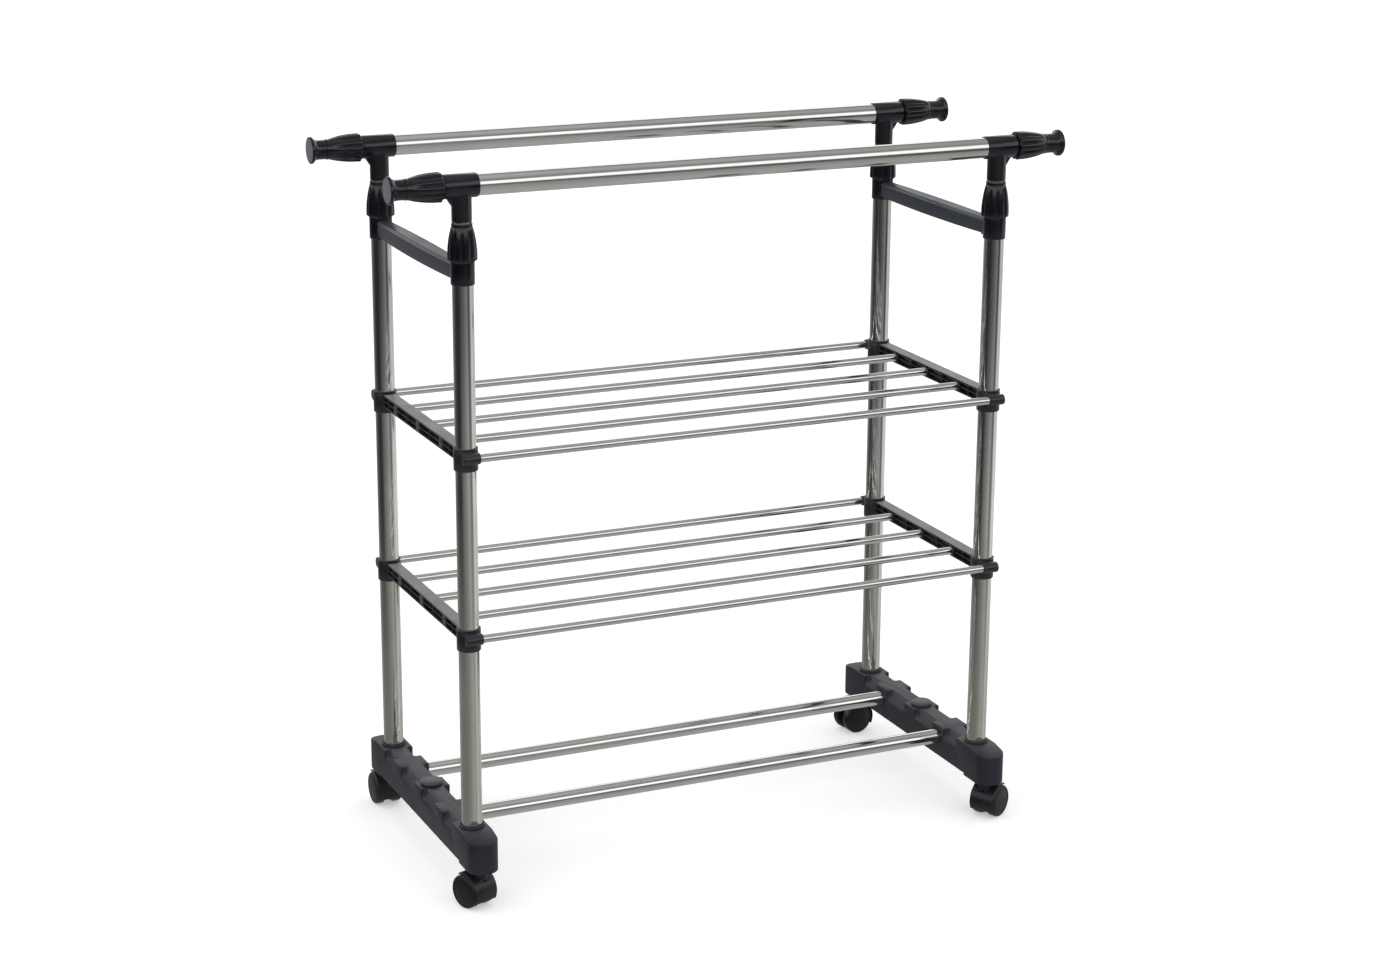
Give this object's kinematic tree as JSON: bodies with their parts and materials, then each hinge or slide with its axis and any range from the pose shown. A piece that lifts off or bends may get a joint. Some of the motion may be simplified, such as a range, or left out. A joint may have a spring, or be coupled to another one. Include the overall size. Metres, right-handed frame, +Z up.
{
  "type": "rolling clothes rack",
  "caption": "Rolling clothes rack with twin extendable hanging rails on telescopic posts, two slatted shelves and a castered base.",
  "frame": {"origin": "on the floor, midway between the four posts", "axes": "+X along the hanging rails towards the right, +Y towards the back, +Z up"},
  "size_m": [0.8712, 0.404, 0.8885],
  "materials": {
    "chrome": "polished",
    "slate_plastic": "fine textured",
    "black_gloss": "glossy moulded",
    "cap_plastic": "satin",
    "wheel_plastic": "satin",
    "end_plastic": "satin moulded"
  },
  "bodies": {
    "frame": {"base_beam_left": "slate_plastic", "base_beam_right": "slate_plastic", "base_cap_left": "cap_plastic", "base_cap_right": "cap_plastic", "cross_tube_front": "chrome", "cross_tube_back": "chrome", "post_front_left": "chrome", "post_front_right": "chrome", "post_back_left": "chrome", "post_back_right": "chrome", "lower_bracket_left": "black_gloss", "lower_bracket_right": "black_gloss", "upper_bracket_left": "black_gloss", "upper_bracket_right": "black_gloss", "lower_rod_front": "chrome", "lower_rod_middle_1": "chrome", "lower_rod_middle_2": "chrome", "lower_rod_middle_3": "chrome", "lower_rod_back": "chrome", "upper_rod_front": "chrome", "upper_rod_middle_1": "chrome", "upper_rod_middle_2": "chrome", "upper_rod_middle_3": "chrome", "upper_rod_back": "chrome", "handle_left": "black_gloss", "handle_right": "black_gloss"},
    "lift_front": {"rail_front": "chrome", "inner_post_front_left": "chrome", "inner_post_front_right": "chrome", "tee_front_left": "black_gloss", "tee_front_right": "black_gloss"},
    "lift_back": {"rail_back": "chrome", "inner_post_back_left": "chrome", "inner_post_back_right": "chrome", "tee_back_left": "black_gloss", "tee_back_right": "black_gloss"},
    "post_lock_front_left": {"post_lock_front_left": "black_gloss"},
    "rail_lock_front_left": {"rail_lock_front_left": "black_gloss"},
    "extension_front_left": {"extension_rod_front_left": "chrome", "end_cap_front_left": "end_plastic"},
    "post_lock_front_right": {"post_lock_front_right": "black_gloss"},
    "rail_lock_front_right": {"rail_lock_front_right": "black_gloss"},
    "extension_front_right": {"extension_rod_front_right": "chrome", "end_cap_front_right": "end_plastic"},
    "post_lock_back_left": {"post_lock_back_left": "black_gloss"},
    "rail_lock_back_left": {"rail_lock_back_left": "black_gloss"},
    "extension_back_left": {"extension_rod_back_left": "chrome", "end_cap_back_left": "end_plastic"},
    "post_lock_back_right": {"post_lock_back_right": "black_gloss"},
    "rail_lock_back_right": {"rail_lock_back_right": "black_gloss"},
    "extension_back_right": {"extension_rod_back_right": "chrome", "end_cap_back_right": "end_plastic"},
    "swivel_front_left": {"caster_hood_front_left": "slate_plastic"},
    "wheels_front_left": {"caster_wheels_front_left": "wheel_plastic"},
    "swivel_front_right": {"caster_hood_front_right": "slate_plastic"},
    "wheels_front_right": {"caster_wheels_front_right": "wheel_plastic"},
    "swivel_back_left": {"caster_hood_back_left": "slate_plastic"},
    "wheels_back_left": {"caster_wheels_back_left": "wheel_plastic"},
    "swivel_back_right": {"caster_hood_back_right": "slate_plastic"},
    "wheels_back_right": {"caster_wheels_back_right": "wheel_plastic"}
  },
  "joints": [
    {"name": "lift_front", "type": "slide", "parent": "frame", "child": "lift_front", "axis": [0, 0, 1], "range_m": [0, 0.6]},
    {"name": "lift_back", "type": "slide", "parent": "frame", "child": "lift_back", "axis": [0, 0, 1], "range_m": [0, 0.6]},
    {"name": "post_lock_front_left", "type": "hinge", "parent": "frame", "child": "post_lock_front_left", "pos_m": [-0.3475, -0.146, 0.7858], "axis": [0, 0, 1], "range_deg": [0, 180]},
    {"name": "rail_lock_front_left", "type": "hinge", "parent": "lift_front", "child": "rail_lock_front_left", "pos_m": [-0.3718, -0.146, 0.8715], "axis": [-1, 0, 0], "range_deg": [0, 180]},
    {"name": "extension_front_left", "type": "slide", "parent": "lift_front", "child": "extension_front_left", "axis": [-1, 0, 0], "range_m": [0, 0.3]},
    {"name": "post_lock_front_right", "type": "hinge", "parent": "frame", "child": "post_lock_front_right", "pos_m": [0.3475, -0.146, 0.7858], "axis": [0, 0, 1], "range_deg": [0, 180]},
    {"name": "rail_lock_front_right", "type": "hinge", "parent": "lift_front", "child": "rail_lock_front_right", "pos_m": [0.3718, -0.146, 0.8715], "axis": [1, 0, 0], "range_deg": [0, 180]},
    {"name": "extension_front_right", "type": "slide", "parent": "lift_front", "child": "extension_front_right", "axis": [1, 0, 0], "range_m": [0, 0.3]},
    {"name": "post_lock_back_left", "type": "hinge", "parent": "frame", "child": "post_lock_back_left", "pos_m": [-0.3475, 0.146, 0.7858], "axis": [0, 0, 1], "range_deg": [0, 180]},
    {"name": "rail_lock_back_left", "type": "hinge", "parent": "lift_back", "child": "rail_lock_back_left", "pos_m": [-0.3718, 0.146, 0.8715], "axis": [-1, 0, 0], "range_deg": [0, 180]},
    {"name": "extension_back_left", "type": "slide", "parent": "lift_back", "child": "extension_back_left", "axis": [-1, 0, 0], "range_m": [0, 0.3]},
    {"name": "post_lock_back_right", "type": "hinge", "parent": "frame", "child": "post_lock_back_right", "pos_m": [0.3475, 0.146, 0.7858], "axis": [0, 0, 1], "range_deg": [0, 180]},
    {"name": "rail_lock_back_right", "type": "hinge", "parent": "lift_back", "child": "rail_lock_back_right", "pos_m": [0.3718, 0.146, 0.8715], "axis": [1, 0, 0], "range_deg": [0, 180]},
    {"name": "extension_back_right", "type": "slide", "parent": "lift_back", "child": "extension_back_right", "axis": [1, 0, 0], "range_m": [0, 0.3]},
    {"name": "swivel_front_left", "type": "hinge", "parent": "frame", "child": "swivel_front_left", "pos_m": [-0.3475, -0.174, 0.051], "axis": [0, 0, 1], "continuous": true},
    {"name": "wheels_front_left", "type": "hinge", "parent": "swivel_front_left", "child": "wheels_front_left", "pos_m": [-0.35216, -0.16186, 0.021], "axis": [0.9336, 0.3584, 0], "continuous": true},
    {"name": "swivel_front_right", "type": "hinge", "parent": "frame", "child": "swivel_front_right", "pos_m": [0.3475, -0.174, 0.051], "axis": [0, 0, 1], "continuous": true},
    {"name": "wheels_front_right", "type": "hinge", "parent": "swivel_front_right", "child": "wheels_front_right", "pos_m": [0.35876, -0.1675, 0.021], "axis": [0.5, -0.866, 0], "continuous": true},
    {"name": "swivel_back_left", "type": "hinge", "parent": "frame", "child": "swivel_back_left", "pos_m": [-0.3475, 0.174, 0.051], "axis": [0, 0, 1], "continuous": true},
    {"name": "wheels_back_left", "type": "hinge", "parent": "swivel_back_left", "child": "wheels_back_left", "pos_m": [-0.3475, 0.187, 0.021], "axis": [1, 0, 0], "continuous": true},
    {"name": "swivel_back_right", "type": "hinge", "parent": "frame", "child": "swivel_back_right", "pos_m": [0.3475, 0.174, 0.051], "axis": [0, 0, 1], "continuous": true},
    {"name": "wheels_back_right", "type": "hinge", "parent": "swivel_back_right", "child": "wheels_back_right", "pos_m": [0.3346, 0.17242, 0.021], "axis": [-0.1219, 0.9925, 0], "continuous": true}
  ]
}
